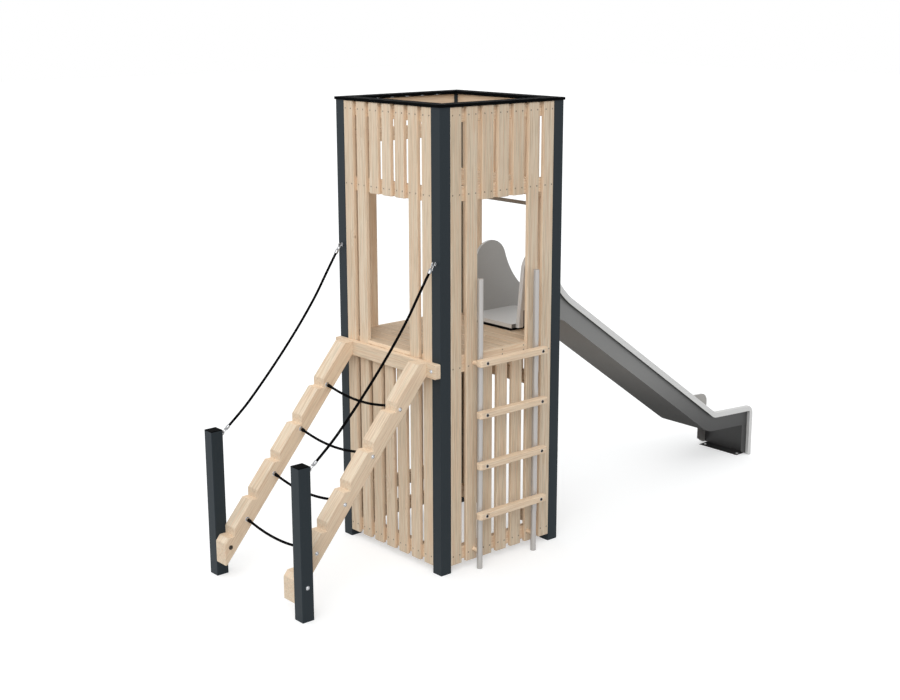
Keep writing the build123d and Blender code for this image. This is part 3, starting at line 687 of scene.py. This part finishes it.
def rung_ends(from_middle, top_height):
    """Each rope rung's two ends, from the top: a place on it at a distance from the ramp's
    middle, and -1 or 1 for its side."""
    return [
        ((first_rung_x - k * rung_spacing_out, tower_middle[1] + outer * from_middle,
          top_height - k * rung_spacing_down), outer)
        for k in range(rope_rungs)
        for outer in (-1.0, 1.0)
    ]


stringer_inner, stringer_outer = 0.350, 0.465
top_bolt_height = 1.226
bolts = [(place, (0.0, outer, 0.0)) for place, outer in rung_ends(stringer_outer, top_bolt_height)]
header_bolt = (-0.600, 0.510, 1.453)
short_post_bolt = (-1.663, 0.555, 0.230)
for outer in (-1.0, 1.0):
    x, y, z = header_bolt
    bolts.append((tower_point(x, outer * y, z), (-1.0, 0.0, 0.0)))
    x, y, z = short_post_bolt
    bolts.append((tower_point(x, outer * y, z), (0.0, outer, 0.0)))
bolt_outline = [
    (0.0140, -0.0010), (0.0140, 0.0008), (0.0136, 0.0014), (0.0112, 0.0016), (0.0108, 0.0028),
    (0.0098, 0.0048), (0.0080, 0.0064), (0.0070, 0.0070), (0.0062, 0.0071), (0.0058, 0.0062),
    (0.0054, 0.0016),
]
bolt_lobes = [0, 0, 0, 0, 0, 0, 0, 0, 0.10, 0.12, 0.12]
turned_set("ramp_bolts", bolt_outline, bolt_lobes, 36, bolts, bolt_finish)

# Rope rungs' ends: a black plastic sleeve over the edge of each ferrule, and a steel washer
# round it on the stringer's inner face.
sleeve_finish = Finish("black_sleeve", {"Roughness": 0.7, "Specular IOR Level": 0.05})
sleeve_grain = sleeve_finish.noise(sleeve_finish.place(), 500.0, 2.0)
sleeve_finish.feed("Base Color", sleeve_finish.mix(sleeve_grain, painted(3, 3, 4), painted(12, 12, 13)))
(end_y, end_z), (next_y, next_z) = rung_route[:2]
sleeves = []
rope_washers = []
for (x, y, z), outer in rung_ends(tower_middle[1] - end_y, end_z):
    inward = np.array((0.0, -outer * (next_y - end_y), next_z - end_z))
    inward /= np.linalg.norm(inward)
    sleeves.append(((x, y, z), inward))
    face_y = tower_middle[1] + outer * stringer_inner
    face_z = z + (face_y - y) / inward[1] * inward[2]
    rope_washers.append(((x, face_y, face_z), (0.0, -outer, 0.0)))
sleeve_outline = [
    (0.0080, -0.0015), (0.0122, -0.0015), (0.0124, 0.0005), (0.0122, 0.0140), (0.0104, 0.0280),
    (0.0096, 0.0300), (0.0080, 0.0300),
]
turned_set("rope_sleeves", sleeve_outline, [0] * 7, 32, sleeves, sleeve_finish)
rope_washer_outline = [
    (0.0175, -0.0008), (0.0175, 0.0008), (0.0166, 0.0020), (0.0130, 0.0032), (0.0130, -0.0008),
]
turned_set("rope_washers", rope_washer_outline, [0] * 5, 32, rope_washers, bolt_finish)

# Sunk caps: dark caps that cover the nuts of the short posts' bolts, on the stringers' inner
# faces.
bolt_x, _, bolt_z = short_post_bolt
sunk_caps = [
    (tower_point(bolt_x, outer * stringer_inner, bolt_z), (0.0, -outer, 0.0)) for outer in (-1.0, 1.0)
]
sunk_cap_outline = [
    (0.0160, -0.0010), (0.0160, 0.0010), (0.0150, 0.0016), (0.0095, 0.0016), (0.0090, 0.0050),
    (0.0060, 0.0062),
]
turned_set("sunk_caps", sunk_cap_outline, [0] * 6, 32, sunk_caps, screw_finish)

# Ladder bolts: dark bolts on bright washers, two in each rung, in line with the poles.
pole_from_middle = 0.2575
rung_front = 0.692
ladder_rungs = 4
lowest_rung_height, ladder_rung_pitch = 0.405, 0.360
rung_bolts = []
for k in range(ladder_rungs):
    for side in (-1.0, 1.0):
        height = lowest_rung_height + ladder_rung_pitch * k
        rung_bolts.append((tower_point(side * pole_from_middle, -rung_front, height), (0.0, -1.0, 0.0)))
rung_washer_outline = [
    (0.0125, -0.0010), (0.0125, 0.0008), (0.0121, 0.0013), (0.0094, 0.0014), (0.0094, -0.0010),
]
turned_set("rung_washers", rung_washer_outline, [0] * 5, 36, rung_bolts, bolt_finish)
rung_bolt_outline = [
    (0.0092, -0.0010), (0.0092, 0.0030), (0.0080, 0.0048), (0.0060, 0.0056), (0.0050, 0.0056),
    (0.0048, 0.0048), (0.0044, 0.0012),
]
rung_bolt_lobes = [0, 0, 0, 0, 0.10, 0.12, 0.12]
turned_set("rung_bolts", rung_bolt_outline, rung_bolt_lobes, 36, rung_bolts, screw_finish)

# Floor: white, with the object's soft shadow. What the camera, metal and glass see of it is
# lifted by its own glow, and it throws less light back on the object than it shows.
floor_finish = Finish("white_floor", {"Roughness": 1.0, "Specular IOR Level": 0.0})
floor_finish.shader.inputs["Emission Strength"].default_value = 1.0
seen_floor = floor_finish.node("ShaderNodeLightPath", {}, {}, "Is Camera Ray")
for kind in ("Is Glossy Ray", "Is Transmission Ray"):
    other_kind = floor_finish.node("ShaderNodeLightPath", {}, {}, kind)
    seen_floor = seen_floor.maths("MAXIMUM", seen_floor, other_kind)
floor_finish.feed("Base Color", floor_finish.mix(seen_floor, (0.42, 0.42, 0.42), (0.64, 0.65, 0.655)))
floor_finish.feed("Emission Color", floor_finish.mix(seen_floor, (0.0, 0.0, 0.0), (0.46, 0.46, 0.46)))
floor_mesh = bpy.data.meshes.new("floor")
reach = 60.0
floor_corners = [(-reach, -reach, 0), (reach, -reach, 0), (reach, reach, 0), (-reach, reach, 0)]
floor_mesh.from_pydata(floor_corners, [], [(0, 1, 2, 3)])
floor_mesh.materials.append(floor_finish.material)
floor = bpy.data.objects.new("floor", floor_mesh)
scene.collection.objects.link(floor)

# Light: a dome that is brighter on the side of the ramp and dimmed in one patch on the side
# of the chute, and one broad sun. The camera, metal and glass see plain white instead.
world = bpy.data.worlds.new("surround")
scene.world = world
world.use_nodes = True
tree = world.node_tree
tree.nodes.clear()
output = tree.nodes.new("ShaderNodeOutputWorld")
seen = tree.nodes.new("ShaderNodeBackground")
seen.inputs["Color"].default_value = (1.0, 1.0, 1.0, 1.0)
light = tree.nodes.new("ShaderNodeBackground")
light.inputs["Color"].default_value = (1.0, 1.0, 1.0, 1.0)
direction = tree.nodes.new("ShaderNodeTexCoord")


def dome_part(towards, start, end, low, high):
    """A strength that runs from low to high as the direction turns towards a place on the dome."""
    turned_to = tree.nodes.new("ShaderNodeVectorMath")
    turned_to.operation = "DOT_PRODUCT"
    turned_to.inputs[1].default_value = Vector(towards).normalized()
    tree.links.new(direction.outputs["Generated"], turned_to.inputs[0])
    ranged = tree.nodes.new("ShaderNodeMapRange")
    for socket, value in {"From Min": start, "From Max": end, "To Min": low, "To Max": high}.items():
        ranged.inputs[socket].default_value = value
    tree.links.new(turned_to.outputs["Value"], ranged.inputs["Value"])
    return ranged.outputs["Result"]


strength = tree.nodes.new("ShaderNodeMath")
strength.operation = "MULTIPLY"
tree.links.new(dome_part((-0.70, 0.40, 0.60), -1.0, 1.0, 0.60, 1.10), strength.inputs[0])
tree.links.new(dome_part((0.75, -0.60, 0.10), 0.55, 0.90, 1.0, 0.30), strength.inputs[1])
tree.links.new(strength.outputs[0], light.inputs["Strength"])
path_kind = tree.nodes.new("ShaderNodeLightPath")
seen_world = path_kind.outputs["Is Camera Ray"]
for kind in ("Is Glossy Ray", "Is Transmission Ray"):
    either = tree.nodes.new("ShaderNodeMath")
    either.operation = "MAXIMUM"
    tree.links.new(seen_world, either.inputs[0])
    tree.links.new(path_kind.outputs[kind], either.inputs[1])
    seen_world = either.outputs[0]
choice = tree.nodes.new("ShaderNodeMixShader")
tree.links.new(seen_world, choice.inputs[0])
tree.links.new(light.outputs[0], choice.inputs[1])
tree.links.new(seen.outputs[0], choice.inputs[2])
tree.links.new(choice.outputs[0], output.inputs[0])

sun_from = Vector((-0.95, -0.95, 1.0))
sun_data = bpy.data.lights.new("front_left", "SUN")
sun_data.energy = 1.10
sun_data.angle = np.radians(45.0)
sun = bpy.data.objects.new("front_left", sun_data)
sun.rotation_euler = (-sun_from).to_track_quat("-Z", "Y").to_euler()
scene.collection.objects.link(sun)
